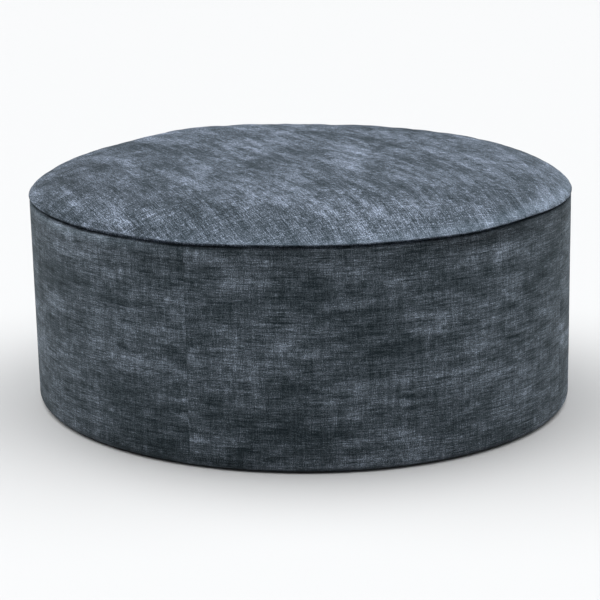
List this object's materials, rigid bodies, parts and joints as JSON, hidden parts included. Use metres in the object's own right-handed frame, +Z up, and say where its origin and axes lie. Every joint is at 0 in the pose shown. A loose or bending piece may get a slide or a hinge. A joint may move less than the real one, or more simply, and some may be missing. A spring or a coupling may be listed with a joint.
{
  "type": "ottoman",
  "caption": "Low round drum ottoman in plain slate velvet, with a softly crowned top rolled over a sewn seam and a smooth panelled side band standing flat on the floor.",
  "frame": {"origin": "middle of the flat underside, on the floor", "axes": "+Z up, -Y towards the front as pictured, +X to its right"},
  "size_m": [1.0091, 1.0034, 0.4553],
  "materials": {
    "velvet": "slubbed velvet with a soft sheen and mottled pile, slate blue-grey"
  },
  "bodies": {
    "root": {"filled_drum": "velvet", "band_panel_1": "velvet", "band_panel_2": "velvet", "band_panel_3": "velvet", "band_panel_4": "velvet"}
  },
  "joints": []
}
